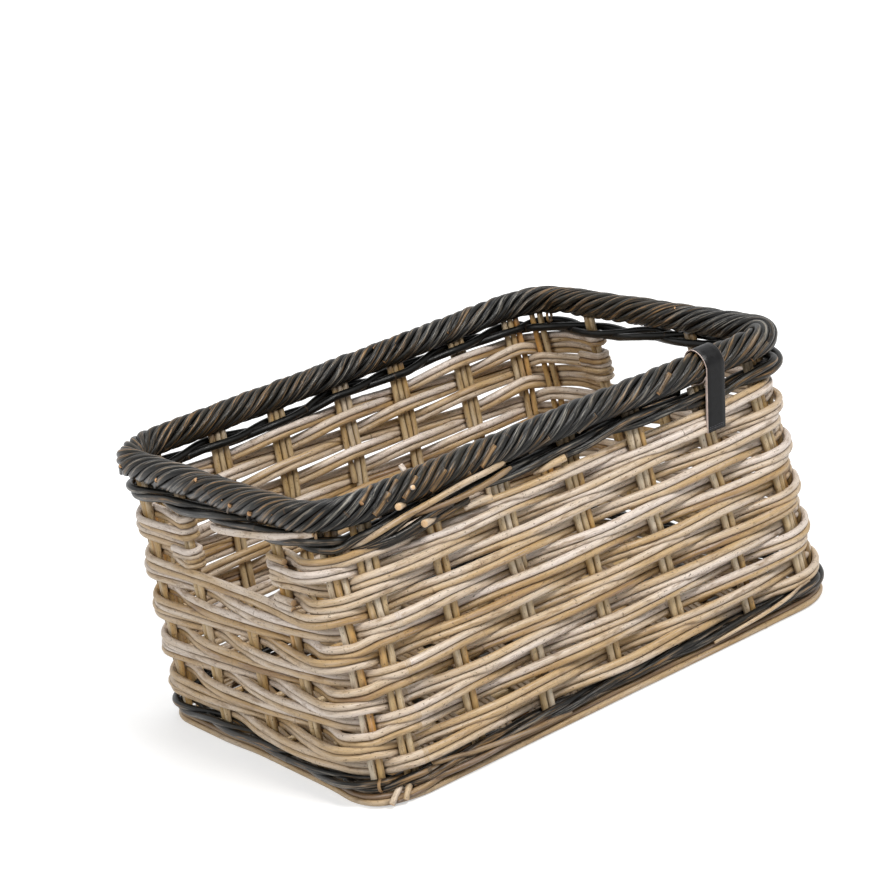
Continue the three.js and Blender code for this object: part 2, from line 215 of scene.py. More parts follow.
def spring(s, at, values, period=None):
    """A springy line through values: a cubic spline, closed up after a period if there is one."""
    s, at, values = closed_up(s, at, values, period)
    h = np.diff(at)
    slope = np.diff(values) / h
    n = len(at)
    a, b = np.zeros((n, n)), np.zeros(n)
    for i in range(1, n - 1):
        a[i, i - 1:i + 2] = h[i - 1], 2 * (h[i - 1] + h[i]), h[i]
        b[i] = 6 * (slope[i] - slope[i - 1])
    if period:
        a[0, 0], a[0, 1], a[0, -2] = 2 * (h[0] + h[-1]), h[0], h[-1]
        b[0] = 6 * (slope[0] - slope[-1])
        a[-1, 0], a[-1, -1] = 1, -1
    else:
        a[0, 0] = a[-1, -1] = 1
    m = np.linalg.solve(a, b)
    i = np.clip(np.searchsorted(at, s, side="right") - 1, 0, n - 2)
    x, y = (s - at[i]) / h[i], (at[i + 1] - s) / h[i]
    return (values[i] * y + values[i + 1] * x
            + h[i] ** 2 / 6 * ((y ** 3 - y) * m[i] + (x ** 3 - x) * m[i + 1]))


def follow(s, at, values, level, period=None):
    """A line through values at the places at, level for a little on both sides of each."""
    s, at, values = closed_up(s, at, values, period)
    i = np.clip(np.searchsorted(at, s, side="right") - 1, 0, len(at) - 2)
    a, b = at[i] + level, at[i + 1] - level
    return values[i] + (values[i + 1] - values[i]) * ease((s - a) / np.maximum(b - a, 1.0))


# ---- canes as meshes

# Stations that draw a growth ring, how far others keep from it, and how wide it swells
RING_STATIONS, RING_ROOM, RING_WIDTH = (-2.6, -1.2, 0.0, 1.2, 2.6), 3.8, 2.2
TAPER_LENGTH = 9.0
# The rounded edge of a cut end stands out this far, at this share of the radius, and its middle this far
LIP_OUT, LIP_SHARE, CAP_OUT = 0.3, 0.84, 0.4
# Other canes are looked for this far from a cane, and the painted shade and dirt between them fade over
# this gap
NEAR_REACH, NEAR_FADE = 6.0, 0.8

# What the materials read at each point of a cane: how dark it is, growth rings, cut ends, dirt and painted
# shade, how far it faces outwards, and how close other canes lie, for painted shade between them
READ = ("tone", "ring", "cut", "dirt", "face", "crevice")

ALL_CANES = []
PIECES = []


def new_mesh(name, points, faces, *materials):
    mesh = bpy.data.meshes.new(name)
    mesh.from_pydata(points, [], faces)
    for material in materials:
        mesh.materials.append(material)
    return mesh


class Canes:
    """Gathers the canes of one piece, which are made into its mesh when all canes are known."""

    def __init__(self, sides=12, step=5.0):
        self.sides, self.step = sides, step
        self.canes = []

    def add(self, points, normals, radius, tone=0.4, closed=False, flat=1.0, rings=None, step=None,
            swell=0.3, taper=(1.0, 1.0), dirt=0.0):
        count = len(points)
        given = [np.broadcast_to(np.asarray(value, float), shape) for value, shape in (
            (points, (count, 3)), (normals, (count, 3)), (radius, count), (tone, count))]
        if closed:
            given = [np.concatenate([rows, rows[:1]]) for rows in given]
        points, normals, radius, tone = given
        at = lengths_along(points)
        total = at[-1]
        step = step or self.step
        if rings is None:
            rings = []
            here = rng.uniform(30, 260)
            while here < total - 12:
                rings.append(here)
                here += rng.uniform(130, 420)
        stations = list(np.linspace(0, total, max(3, int(round(total / step)) + 1)))
        if closed:
            stations.pop()
        for q in rings:
            stations = [t for t in stations if abs(t - q) > RING_ROOM or t in (0, total)]
            stations += [q + beside for beside in RING_STATIONS]
        stations = np.array(sorted(stations))
        p, n = sample(stations, at, points), sample(stations, at, normals)
        r = np.interp(stations, at, radius) * (1 + 0.04 * wobble(stations, 1.0, 90, seed()))
        mark = np.zeros(len(stations))
        for q in rings:
            away = np.abs(stations - q)
            strength = rng.uniform(0.35, 1.0)
            r = r + swell * strength * np.exp(-(away / RING_WIDTH) ** 2)
            mark = np.maximum(mark, strength * (away < 0.1))
        if closed:
            tangent = unit(np.roll(p, -1, 0) - np.roll(p, 1, 0))
        else:
            tangent = unit(np.gradient(p, axis=0))
            for share, away in zip(taper, (stations, total - stations)):
                r = r * (1 - (1 - share) * np.clip(1 - away / TAPER_LENGTH, 0, 1))
        side = unit(np.cross(tangent, n))
        front = np.cross(side, tangent)
        angle = TURN * np.arange(self.sides) / self.sides
        cos, sin = np.cos(angle)[:, None], np.sin(angle)[:, None]
        cane = SimpleNamespace(p=p, r=r, tangent=tangent, closed=closed, mark=mark, dirt=dirt)
        around = flat * cos * front[:, None] + sin * side[:, None]
        cane.ring = p[:, None] + r[:, None, None] * around
        fibre = np.broadcast_arrays(stations[:, None], r[:, None] * cos.T, r[:, None] * sin.T)
        cane.fibre = np.stack(fibre, -1) + rng.uniform(0, 4000, 3)
        cane.tone = np.interp(stations, at, tone)
        cane.face = np.tile(np.cos(angle), len(p))
        dense = np.arange(0, total, 2.0)
        cane.dense = sample(dense, stations, p)
        cane.dense_r = np.interp(dense, stations, r) * (0.5 + 0.5 * flat)
        ALL_CANES.append(cane)
        self.canes.append(cane)

    def piece(self, name, slot, *nodes, body="basket", material=None):
        PIECES.append((self, name, material or FINISHES[slot], slot, nodes, body))

    def build(self, name, material, near):
        faces, base, sides = [], 0, self.sides
        values = {key: [] for key in ("points", "fibre", *READ)}
        j = np.arange(sides)
        k = (j + 1) % sides
        for cane in self.canes:
            rows = len(cane.p)
            count = rows * sides
            row = np.arange(rows if cane.closed else rows - 1)[:, None] * sides
            after = (row + sides) % count
            faces += (base + np.stack([row + j, row + k, after + k, after + j], -1)).reshape(-1, 4).tolist()
            parts = {"points": [cane.ring.reshape(-1, 3)], "fibre": [cane.fibre.reshape(-1, 3)],
                     "ring": [np.repeat(cane.mark, sides)], "tone": [np.repeat(cane.tone, sides)],
                     "cut": [np.zeros(count)], "face": [cane.face], "crevice": [near(cane).reshape(-1)]}
            if not cane.closed:
                for end, way in ((0, -1), (rows - 1, 1)):
                    centre, out = cane.p[end], way * cane.tangent[end]
                    lip = centre + LIP_OUT * out + LIP_SHARE * (cane.ring[end] - centre)
                    rim, start = base + end * sides, base + count
                    for a in range(sides):
                        b = (a + 1) % sides
                        outer = [rim + a, rim + b, start + b, start + a]
                        cap = [start + a, start + b, start + sides]
                        faces += [outer[::way], cap[::way]]
                    parts["points"].append(np.vstack([lip, centre + CAP_OUT * out]))
                    parts["fibre"].append(np.vstack([cane.fibre[end], cane.fibre[end].mean(0)]))
                    for key, value in (("cut", 1), ("tone", cane.tone[end]), ("ring", 0), ("face", 0),
                                       ("crevice", 0)):
                        parts[key].append(np.full(sides + 1, float(value)))
                    count += sides + 1
            for key, rows_of in parts.items():
                values[key] += rows_of
            values["dirt"].append(np.full(count, cane.dirt))
            base += count
        mesh = new_mesh(name, (np.vstack(values["points"]) * MM).tolist(), faces, material)
        for key in READ:
            layer = mesh.attributes.new(key, "FLOAT", "POINT")
            layer.data.foreach_set("value", np.concatenate(values[key]).astype(np.float32))
        layer = mesh.attributes.new("fibre", "FLOAT_VECTOR", "POINT")
        layer.data.foreach_set("vector", np.vstack(values["fibre"]).astype(np.float32).ravel())
        mesh.polygons.foreach_set("use_smooth", [True] * len(mesh.polygons))
        mesh.update()
        return mesh


def new_object(name, data):
    made = bpy.data.objects.new(name, data)
    bpy.context.scene.collection.objects.link(made)
    return made


def add_piece(mesh, name, nodes, body):
    piece = new_object(name, mesh)
    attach(piece, body)
    if nodes:
        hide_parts(*nodes)


def build_pieces():
    """Meshes of all the canes, now that it is known which of them lie against each other."""
    for number, cane in enumerate(ALL_CANES):
        cane.number = number
    centres = np.vstack([cane.dense for cane in ALL_CANES])
    radii = np.concatenate([cane.dense_r for cane in ALL_CANES])
    owners = np.concatenate([np.full(len(cane.dense), cane.number) for cane in ALL_CANES])
    tree = KDTree(len(centres))
    for i, centre in enumerate(centres):
        tree.insert(centre, i)
    tree.balance()

    def near(cane):
        touch = np.zeros(cane.ring.shape[:2])
        for i in range(len(cane.p)):
            found = np.array([k for _, k, _ in tree.find_range(cane.p[i], cane.r[i] + NEAR_REACH)], int)
            found = found[owners[found] != cane.number] if len(found) else found
            if len(found):
                gap = np.linalg.norm(cane.ring[i][:, None] - centres[found], axis=2) - radii[found]
                touch[i] = np.exp(-(np.maximum(gap.min(1), 0) / NEAR_FADE) ** 2)
        return touch

    for canes, name, material, slot, nodes, body in PIECES:
        add_piece(canes.build(name, material, near), name, nodes, body)


# ---- materials


def linear(r, g, b):
    """A colour written as it looks, 0 to 255, as the shader takes it."""
    return tuple((c / 255 / 12.92) if c / 255 <= 0.04045 else ((c / 255 + 0.055) / 1.055) ** 2.4
                 for c in (r, g, b)) + (1.0,)


class Nodes:
    """Short ways to add and join shader nodes. ramp, mix and cover take colours as linear() does."""

    def __init__(self, tree):
        self.tree = tree

    def give(self, socket, value):
        if isinstance(value, bpy.types.NodeSocket):
            self.tree.links.new(value, socket)
        else:
            socket.default_value = value

    def node(self, kind, inputs=None, **settings):
        made = self.tree.nodes.new("ShaderNode" + kind)
        for key, value in settings.items():
            setattr(made, key, value)
        for key, value in (inputs or {}).items():
            self.give(made.inputs[key], value)
        return made

    def attributes(self, *names):
        return [self.node("Attribute", attribute_name=name).outputs["Fac"] for name in names]

    def maths(self, operation, a, b=0.0, clamp=False):
        return self.node("Math", {0: a, 1: b}, operation=operation, use_clamp=clamp).outputs[0]

    def noise(self, vector, scale, detail, rough=0.5):
        return self.node("TexNoise", {"Vector": vector, "Scale": scale, "Detail": detail,
                                      "Roughness": rough}).outputs["Fac"]

    def grained(self, along, across, detail, rough=0.5):
        """Noise with its own scale along the cane and across it."""
        fibre = self.node("Attribute", attribute_name="fibre").outputs["Vector"]
        drawn = self.node("VectorMath", {0: fibre, 1: (along, across, across)}, operation="MULTIPLY")
        return self.noise(drawn.outputs[0], 1.0, detail, rough)

    def between(self, value, low, high, to_low=0.0, to_high=1.0):
        return self.node("MapRange", {"Value": value, "From Min": low, "From Max": high,
                                      "To Min": to_low, "To Max": to_high}).outputs[0]

    def ramp(self, value, stops):
        made = self.node("ValToRGB", {"Fac": value})
        elements = made.color_ramp.elements
        while len(elements) < len(stops):
            elements.new(0.5)
        for element, (place, *colour) in zip(elements, stops):
            element.position, element.color = place, linear(*colour)
        return made.outputs["Color"]

    def mix(self, share, a, b):
        made = self.node("Mix", {"Factor": share}, data_type="RGBA", blend_type="MIX")
        for key, value in (("A", a), ("B", b)):
            socket = next(x for x in made.inputs if x.name == key and x.type == "RGBA")
            self.give(socket, linear(*value) if isinstance(value, tuple) else value)
        return next(x for x in made.outputs if x.type == "RGBA")

    def cover(self, colour, *layers):
        """A colour with others laid over it, each with its share."""
        for share, over in layers:
            colour = self.mix(share, colour, over)
        return colour

    def bump(self, height, distance, strength):
        made = self.node("Bump", {"Height": height, "Distance": distance, "Strength": strength})
        return made.outputs["Normal"]

    def set(self, **inputs):
        for key, value in inputs.items():
            self.give(self.tree.nodes["Principled BSDF"].inputs[key.replace("_", " ")], value)


def new_material(name):
    material = bpy.data.materials.new(name)
    material.use_nodes = True
    return material, Nodes(material.node_tree)


def cane_material(name, stops, grey_share):
    """Unpeeled rattan: long streaks, growth rings, specks, tan cut ends, and painted shade with some dirt
    in the crevices.
    """
    material, n = new_material(name)
    tone, ring, cut, dirt, crevice = n.attributes("tone", "ring", "cut", "dirt", "crevice")
    drift = n.grained(0.011, 0.05, 2.0)
    streak = n.grained(0.02, 0.42, 4.0, 0.6)
    grain = n.grained(0.09, 1.9, 3.0, 0.6)
    speck = n.grained(0.35, 0.55, 2.0, 0.7)
    patch = n.grained(0.045, 0.2, 3.0, 0.65)
    place = n.maths("ADD", tone, n.maths("MULTIPLY", n.maths("SUBTRACT", drift, 0.5), 1.35))
    place = n.maths("ADD", place, n.maths("MULTIPLY", n.maths("SUBTRACT", streak, 0.5), 0.7), clamp=True)
    broken = n.grained(0.3, 0.5, 2.0)
    # painted shade, with some dirt: the cane turns brown where other canes lie close
    crevice_shade_and_dirt = n.maths("MULTIPLY", crevice, n.between(patch, 0.3, 0.65, 0.6, 1.0))
    ends = n.mix(n.between(n.grained(0.0, 2.4, 3.0), 0.4, 0.62), (224, 194, 154), (184, 142, 98))
    colour = n.cover(
        n.ramp(place, stops),
        (n.between(streak, 0.52, 0.72, 0.0, grey_share), (203, 191, 183)),
        (n.between(grain, 0.47, 0.27, 0.0, 0.7), (116, 90, 56)),
        (n.between(patch, 0.55, 0.68, 0.0, 0.65), (126, 98, 66)),
        (n.between(speck, 0.62, 0.7, 0.0, 0.85), (78, 55, 36)),
        (n.maths("MULTIPLY", ring, n.between(broken, 0.42, 0.62)), (92, 64, 40)),
        (dirt, (58, 44, 30)),
        (crevice_shade_and_dirt, (78, 56, 33)),
        (n.between(cut, 0.4, 0.9), ends))
    height = n.maths("ADD", n.maths("MULTIPLY", grain, 0.6), n.maths("MULTIPLY", streak, 0.5))
    n.set(Base_Color=colour, Roughness=n.between(streak, 0.3, 0.7, 0.34, 0.52),
          Normal=n.bump(height, 0.0006, 0.6), Specular_IOR_Level=0.5)
    return material


def dark_material(name):
    """Cane stained nearly black and glossy, worn brown in streaks, with a painted highlight, partly worn
    tan, along the ridges, and painted shade on the strands' sides and between canes.
    """
    material, n = new_material(name)
    tone, ring, cut, face, crevice = n.attributes("tone", "ring", "cut", "face", "crevice")
    wear = n.grained(0.022, 0.34, 4.0, 0.62)
    grain = n.grained(0.1, 2.0, 3.0, 0.6)
    cloud = n.noise(n.node("TexCoord").outputs["Object"], 9.0, 2.0)
    light = n.mix(n.between(cloud, 0.4, 0.6), (22, 22, 21), (42, 38, 26))
    base = n.mix(n.between(grain, 0.3, 0.7), (7, 7, 8), light)
    limit = n.maths("SUBTRACT", 0.77, n.maths("MULTIPLY", tone, 0.24))
    amount = n.between(n.maths("SUBTRACT", wear, limit), -0.05, 0.08, 0.0, 0.85)
    brown = n.mix(n.between(n.grained(0.05, 0.9, 3.0), 0.35, 0.65), (52, 42, 30), (156, 122, 80))
    ridge_highlight_and_wear = n.between(n.grained(0.03, 0.8, 4.0, 0.65), 0.51, 0.62, 0.0, 0.85)
    tan = n.mix(n.between(grain, 0.4, 0.6), (148, 120, 82), (172, 126, 76))
    pale = n.mix(n.between(cloud, 0.4, 0.56), (156, 151, 141), tan)
    ends = n.mix(n.between(grain, 0.35, 0.65), (206, 164, 120), (146, 108, 74))
    colour = n.cover(
        base,
        (amount, brown),
        # painted shade: the sides and backs of the strands near black, the outward ridges not
        (n.between(face, 0.2, 0.95, 0.94, 0.0), (6, 6, 5)),
        # painted highlight along the outward ridges, grey in some places and worn tan in others
        (n.maths("MULTIPLY", ridge_highlight_and_wear, n.between(face, 0.76, 1.0)), pale),
        (n.maths("MULTIPLY", ring, 0.5), (96, 74, 52)),
        # painted shade: near black where other canes lie close
        (n.maths("MULTIPLY", crevice, 0.9), (8, 7, 6)),
        (n.between(cut, 0.4, 0.9), ends))
    n.set(Base_Color=colour, Roughness=n.between(grain, 0.3, 0.7, 0.26, 0.4),
          Normal=n.bump(n.maths("ADD", grain, wear), 0.0004, 0.4), Specular_IOR_Level=0.24)
    return material


def leather_material(name, dark, light, rough, bump):
    material, n = new_material(name)
    place = n.node("TexCoord").outputs["Object"]
    pores = n.node("TexVoronoi", {"Vector": place, "Scale": 1500.0}).outputs["Distance"]
    cloud = n.noise(place, 180.0, 4.0)
    colour = n.mix(n.between(cloud, 0.3, 0.7), dark, light)
    height = n.maths("ADD", n.maths("MULTIPLY", pores, 0.7), n.maths("MULTIPLY", cloud, 0.6))
    n.set(Base_Color=colour, Roughness=n.between(cloud, 0.3, 0.7, rough, rough + 0.12),
          Normal=n.bump(height, bump, 0.6), Specular_IOR_Level=0.2)
    return material


NATURAL, STAKE, DARK = "natural_cane", "stake_cane", "dark_cane"
# the colours of faded and of fresh cane, from light to dark
FINISHES = {
    NATURAL: cane_material(NATURAL, ((0.0, 217, 204, 193), (0.3, 202, 184, 162), (0.55, 187, 159, 118),
                                     (0.8, 168, 136, 90), (1.0, 134, 102, 66)), 0.6),
    STAKE: cane_material(STAKE, ((0.0, 208, 194, 172), (0.3, 192, 170, 132), (0.55, 178, 148, 98),
                                 (0.8, 190, 146, 82), (1.0, 196, 138, 60)), 0.4),
    DARK: dark_material(DARK)}
LEATHER = leather_material("label_leather", (7, 7, 8), (15, 15, 17), 0.26, 0.0002)
LEATHER_EDGE = leather_material("label_edge", (168, 148, 140), (200, 184, 176), 0.7, 0.0004)
THREAD = leather_material("label_thread", (58, 58, 62), (88, 88, 92), 0.6, 0.0002)


# ---- the woven wall

# Offset and height of a course at the stake that it has just come out in front of,
# at the next one, and at the one that it passes behind
OUT = (6.8, 8.8, -6.9)
RISE = (-0.9, 1.5)
# behind a stake it sags on the near and left walls and rides up on the other two
RISE_BEHIND = (-4.2, 6.0, 6.8, -5.2)
# How far each course lies above its even height on the long sides
LIFT = (-0.5, -1.0, 1.5, 2.0, 1.5, 3.0, 2.5, 3.0, 3.5, 4.0, 5.0, 5.5, 5.0, 3.0, 0.5)


def course_height(course, s):
    """The course's height along the wall, with the lifts and leans of a hand-made basket."""
    stretch, share = WALL.station(s)
    points, normals = plan(stretch, share, middle_length, middle_width, WALL.radii)
    long_side = normals[:, 1] ** 2
    lean = -0.012 * points[:, 0] * long_side * (normals[:, 1] < 0)
    return FIRST_COURSE_Z + course * COURSE_PITCH + LIFT[course] * (0.25 + 0.75 * long_side) + lean


def corner_bulge(s, z):
    return np.clip((z - 90) / 110, 0, 1) * 3.0 * hill(s, FR_CORNER, 34)


def course_knots(course, first, last, local):
    at, out, dz = [], [], []
    for i in range(first, last + 1):
        side = STAKE_SIDES[i % COUNT]
        corner = side != STAKE_SIDES[(i + 1) % COUNT] or side != STAKE_SIDES[(i - 1) % COUNT]
        p = (i - course) % 3
        at.append(stake_at(i))
        out.append(OUT[p] - (2.0 if corner and p == 1 else 0.0) + local.normal(0, 0.3))
        dz.append((RISE_BEHIND[side] if p == 2 else RISE[p]) + local.normal(0, 0.6))
        if i % COUNT in HOLES and course == COURSES - HOLE_COURSES - 1:
            out[-1], dz[-1] = 4.0, -0.5
    return np.array(at), np.array(out), np.array(dz)


def pass_line(s, at, out, dz, period=None, level=3.0):
    """Offset and height along a course, between a stiff cane and a slack one."""
    offset = 0.4 * spring(s, at, out, period) + 0.6 * follow(s, at, out, 6.0, period)
    return offset, follow(s, at, dz, level, period)


def add_pair(canes, s, z, out, radii, tones, closed, local):
    """Two canes, one above the other, along a line on the wall."""
    gap = 0.97 * (radii[0] + radii[1])
    fade = np.abs(np.sin(math.pi * s / WALL.total)) ** 0.5 if closed else 1.0
    tilt = fade * wobble(s, 0.5, 300, seed(local))
    for k, (radius, tone) in enumerate(zip(radii, tones)):
        up = (-0.5, 0.5)[k] * gap
        own = fade * wobble(s, 0.4, 170, seed(local))
        points, normals = wall(s, z + up * np.cos(tilt) + own, out + up * np.sin(tilt) * 0.8)
        stout = radius * (1 + 0.07 * np.clip(normals[:, 1], 0, 1))
        canes.add(points, UP, stout, tone, closed=closed)


def build_courses():
    for course in range(COURSES):
        local = draws(100 + course)
        runs = [("", 0, COUNT - 1)]
        if course >= COURSES - HOLE_COURSES:
            runs = [("_front", HOLES[1] - COUNT + 1, HOLES[0] - 1), ("_back", HOLES[0] + 1, HOLES[1] - 1)]
        for suffix, first, last in runs:
            canes = Canes()
            radii = local.uniform(3.15, 3.55, 2) * (0.93 if course > 11 else 1.0)
            tones = np.clip(local.normal(0.36, 0.2, 2), 0.0, 0.85)
            at, out, dz = course_knots(course, first, last, local)
            if suffix:
                s, offset, rise = wrapped_line(at, out, dz)
            else:
                s = np.arange(0, WALL.total - 1, 3.0)
                offset, rise = pass_line(s, at, out, dz, WALL.total)
            z = course_height(course, s) + rise
            add_pair(canes, s, z, offset + corner_bulge(s, z), radii, tones, not suffix, local)
            label = f"course_{course + 1:02d}{suffix}"
            canes.piece(f"cane_{label}", NATURAL, f"weave_{label}")


def wrapped_line(at, out, dz):
    """A cut course: round the stake beside the hole at both ends, and a little way back."""
    s = np.arange(at[0] + 5, at[-1] - 5, 3.0)
    offset, rise = pass_line(s, at, out, dz)
    reach, beyond, pace = 6.9, 3.6, 3.2
    ends = []
    for end, way in ((0, -1), (-1, 1)):
        side = math.copysign(1.0, out[end])
        turn = np.linspace(0, math.pi, 12)
        tail = beyond - pace * np.arange(1, 9)
        along = at[end] + way * np.concatenate([beyond + reach * np.sin(turn), tail])
        across = side * reach * np.concatenate([np.cos(turn), np.full(len(tail), -1.0)])
        ends.append((along, across, np.full(len(along), dz[end] - 0.8)))
    (s0, o0, z0), (s1, o1, z1) = ends
    return (np.concatenate([s0[::-1], s, s1]), np.concatenate([o0[::-1], offset, o1]),
            np.concatenate([z0[::-1], rise, z1]))


def build_stakes():
    names = ("near", "right", "far", "left")
    # how far under the border's middle or the hole's floor the stakes end
    under_label, under_border, under_hole = 17.4, 12.5, 14.0
    counts = [0] * 4
    for index in range(COUNT):
        side = STAKE_SIDES[index]
        counts[side] += 1
        name = f"{names[side]}_{counts[side]}"
        local = draws(500 + index)
        top = RIM_Z - (under_label if name == "near_6" else under_border)
        if index in HOLES:
            top = HOLE_FLOOR_Z - under_hole
        # the pair opens towards the border and lets a third cane in
        third = local.random() < (0.95 if side % 2 == 0 else 0.5 * (counts[side] in (1, 5)))
        start = local.uniform(150, 172)
        canes = Canes(step=8.0)
        for low, high in ((-3.6, -6.5), (3.6, 0.1)) if third else ((-3.6, -4.2), (3.6, 4.2)):
            zs = np.linspace(10.5, top, 32)
            spread = low + (high - low) * ease((zs - start + 30) / 50)
            s = STAKES[index] + spread + wobble(zs, 0.5, 170, seed(local))
            line = wall(s, zs, wobble(zs, 0.25, 120, seed(local)))
            tone = float(np.clip(local.normal(0.42, 0.16), 0.05, 0.75))
            canes.add(*line, STAKE_RADIUS * local.uniform(0.92, 1.04), tone)
        if third:
            zs = np.linspace(start - 6, top, 14)
            line = wall(STAKES[index] + 6.7 + wobble(zs, 0.4, 120, index), zs, 0.0)
            canes.add(*line, 3.0, float(local.uniform(0.2, 0.6)))
        if index in CORNER_STAKES:
            for beside, out, tone, dirt in CORNER_CANES:
                zs = np.linspace(12, top, 30)
                line = wall(STAKES[index] + beside + wobble(zs, 0.5, 120, index), zs, out)
                canes.add(*line, 2.9, tone, dirt=dirt)
        canes.piece(f"cane_stakes_{name}", STAKE, f"stake_pair_{name}")


# ---- wales, hoop and border

# Height of the upper wale: for each side, places along it and heights there
UPPER_WALE = (
    ((-232, 233), (-205, 236.5), (-175, 240), (-120, 240), (-60, 239), (0, 238), (60, 239.5),
     (100, 237.5), (134, 234.5), (180, 233), (215, 234.5)),
    ((-165, 236), (-80, 239), (0, 238), (50, 233), (105, 231), (150, 233)),
    ((-170, 239), (-118, 239.5), (-80, 236.5), (-34, 238), (9, 240), (40, 235.5), (78, 235), (122, 235),
     (166, 238)),
    ((-150, 236), (-78, 237), (-20, 236), (40, 238.5), (95, 240), (160, 239)))


def upper_wale_z(s):
    at, heights = zip(*[(WALL.place(side, travel), z)
                        for side, row in enumerate(UPPER_WALE) for travel, z in row])
    return np.interp(s, at, heights, period=WALL.total)


# Offset of a twined rod at three stakes in turn, and its rise as a share of the wale's height
TWINE_OUT, TWINE_RISE = (6.8, 8.6, -7.0), (-0.45, 0.42, 0.1)


def build_wale(name, level, radius, height, tone, bulge, fade_left, reach):
    """Three twined rods: each passes outside two stakes, rising, and dips behind the third.
    They may be faded round the near left corner."""
    for rod, letter in enumerate("abc"):
        canes = Canes(step=4.0)
        local = draws(40 + rod + int(10 * radius))
        phases = [(i - rod) % 3 for i in range(COUNT)]
        out = [TWINE_OUT[p] + local.normal(0, 0.4) for p in phases]
        dz = [TWINE_RISE[p] * height + local.normal(0, 0.6) for p in phases]
        s = np.arange(0, WALL.total - 1, 3.0)
        offset, rise = pass_line(s, STAKES, out, dz, WALL.total, level=2.0)
        line = wall(s, level(s) + rise, reach * offset + bulge * hill(s, FR_CORNER, 26))
        worn = tone + local.uniform(-0.1, 0.3) + fade_left * hill(s, FL_CORNER + 70, 110)
        canes.add(*line, radius * local.uniform(0.94, 1.06), worn, closed=True)
        nodes = [f"{name}_rod_{letter}"] if rod < 2 else []
        canes.piece(f"cane_{name}_{letter}", DARK, *nodes)


def build_hoop():
    canes = Canes()
    s = np.arange(0, WALL.total - 1, 4.0)
    fade = np.sin(math.pi * s / WALL.total)
    # the inner and upper canes are darkened more, as dirt and painted shade under the foot wale
    for out, up, radius, dirt in ((2.3, -1.7, 3.0, 0.1), (-2.6, -1.5, 3.0, 0.3), (0.3, 2.6, 2.8, 0.45)):
        # drawn in along the left side, and a sharper corner there
        sharp = hill(s, FL_CORNER, 16)
        drawn = hill(s, FL_CORNER - 130, 100, 6)
        line = wall(s, HOOP_Z + up + fade * wobble(s, 0.3, 200, int(9 + out)) + 1.5 * sharp,
                    HOOP_OUT + out + 6.0 * sharp - 4.0 * drawn)
        canes.add(*line, radius, 0.45 + dirt, closed=True, dirt=dirt)
    canes.piece("cane_foot_hoop", NATURAL, "foot_hoop")


BORDER = Loop(RIM_LENGTH, RIM_WIDTH, [34.0, 52.5, 50.0, 48.0])
STRANDS = 9
# Radii of the whole border, its core, the strands' lay, the circle they share out, and the groove canes
BORDER_RADIUS, CORE_RADIUS, LAY_RADIUS, SHARED_RADIUS, GROOVE_RADIUS = 14.1, 8.6, 10.2, 10.6, 12.0
# The length in which the strands turn once, at places round the border
LAYS = ((0, 110), (150, 118), (300, 138), (400, 132), (445, 132), (520, 172), (740, 172), (818, 140),
        (900, 120), (1220, 118), (1296, 115), (1390, 165), (1560, 175), (1640, 118), (1700, 100))
# Stretches where a thin cane lies in a groove between the strands
GROOVES = ((470, 600), (520, 700), (610, 800), (560, 760), (1340, 1480), (1380, 1560), (1450, 1620),
           (1400, 1530), (880, 1010), (1050, 1200))


def border_line(s):
    """Points of the border's centre line and their outward directions."""
    stretch, share = BORDER.station(s)
    points, normals = plan(stretch, share, RIM_LENGTH, RIM_WIDTH, BORDER.radii)
    z = RIM_Z + 0.6 * np.sin(6 * math.pi * s / BORDER.total)
    return np.column_stack([points, z]), np.column_stack([normals, np.zeros_like(s)])


def build_border():
    s = np.arange(0, BORDER.total - 0.5, 2.0)
    centre, outward = border_line(s)
    rate = 1 / np.interp(s, *zip(*LAYS), period=BORDER.total)
    turned = np.concatenate([[0.0], np.cumsum((rate[1:] + rate[:-1]) / 2 * np.diff(s))])
    full = turned[-1] + rate[-1] * (BORDER.total - s[-1])
    turned = turned * round(full) / full
    slope = np.arctan(TURN * LAY_RADIUS * np.gradient(turned, s))
    radius = np.clip(0.55 * TURN * SHARED_RADIUS * np.cos(slope) / STRANDS, 3.2, 3.7)
    reach = BORDER_RADIUS - radius

    def radial(angle, part=slice(None)):
        return np.cos(angle)[:, None] * outward[part] + np.sin(angle)[:, None] * UP

    # the turns close up after a full round, so the irregular lay fades at the join
    fade = np.sin(math.pi * s / BORDER.total)
    canes = Canes(step=3.4)
    for strand in range(STRANDS):
        local = draws(60 + strand)
        angle = TURN * (turned + strand / STRANDS) + 0.22 * fade * wobble(s, 1.0, 150, 60 + strand)
        spoke = radial(angle)
        out = reach + 0.7 * fade * wobble(s, 1.0, 130, 80 + strand)
        tone = local.uniform(0.1, 0.7) + 0.3 * fade * wobble(s, 1.0, 260, 90 + strand)
        canes.add(centre + out[:, None] * spoke, spoke, radius * local.uniform(0.88, 1.12), tone,
                  closed=True, flat=0.94)
    local = draws(9)
    for start, end in GROOVES:
        part = (s > start) & (s < end)
        spoke = radial(TURN * (turned[part] + (local.integers(STRANDS) + 0.5) / STRANDS), part)
        canes.add(centre[part] + GROOVE_RADIUS * spoke, spoke, 1.9, float(local.uniform(0.3, 1.0)),
                  taper=(0.5, 0.5))
    canes.piece("cane_border_strands", DARK, "rope_border")
    core = Canes(step=8.0)
    core.add(centre, outward, CORE_RADIUS, 0.0, closed=True, rings=[])
    core.piece("cane_border_core", DARK)


# Cut ends on the border: distance along it, degrees up from its outer side, and radius
BORDER_ENDS = ((12, 19, 3.8), (69, 18, 3.6), (122, 28, 3.2), (3, 79, 3.0), (314, 28, 3.8), (227, -10, 3.2),
               (1475, 46, 3.2), (1542, -7, 3.0), (42, 35, 3.0), (25, 53, 2.8), (92, -30, 3.0),
               (176, -25, 2.8))


